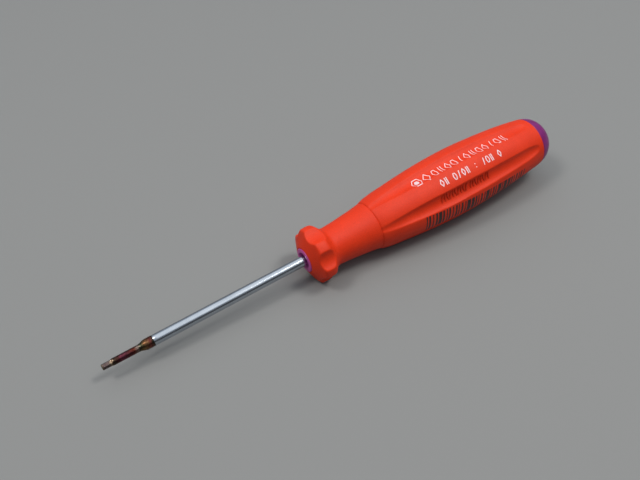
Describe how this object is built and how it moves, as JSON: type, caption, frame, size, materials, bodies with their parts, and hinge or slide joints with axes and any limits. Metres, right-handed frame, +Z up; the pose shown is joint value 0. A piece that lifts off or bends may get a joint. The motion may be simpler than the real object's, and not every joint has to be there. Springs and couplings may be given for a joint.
{
  "type": "precision hex screwdriver",
  "caption": "Slim precision hex screwdriver: chromed round blade with a bare hexagon tip, and a soft fluted grip moulded over a hard core that shows at nose and butt.",
  "frame": {"origin": "on the surface the tool lies on, under the middle of its bounding box", "axes": "+X from the hexagon towards the butt, +Z up from the surface. The tool lies on its flange and its fluted body, so its own axis rises 2.4 degrees towards the butt"},
  "size_m": [0.1242, 0.017, 0.0167],
  "materials": {
    "chromed_steel": "hard chrome plate over fine turning marks, satin to bright",
    "bare_steel_tip": "unplated hardened tool steel, oil-burnished brown with faint temper colours",
    "core_plastic": "moulded purple hard plastic, satin gloss",
    "grip_elastomer": "soft orange-red elastomer with a fine matt mould grain",
    "white_ink": "pad-printed ink",
    "black_ink": "laser-darkened or printed bars"
  },
  "bodies": {
    "root": {"blade": "chromed_steel", "handle_core": "core_plastic", "soft_grip": "grip_elastomer"}
  },
  "joints": []
}
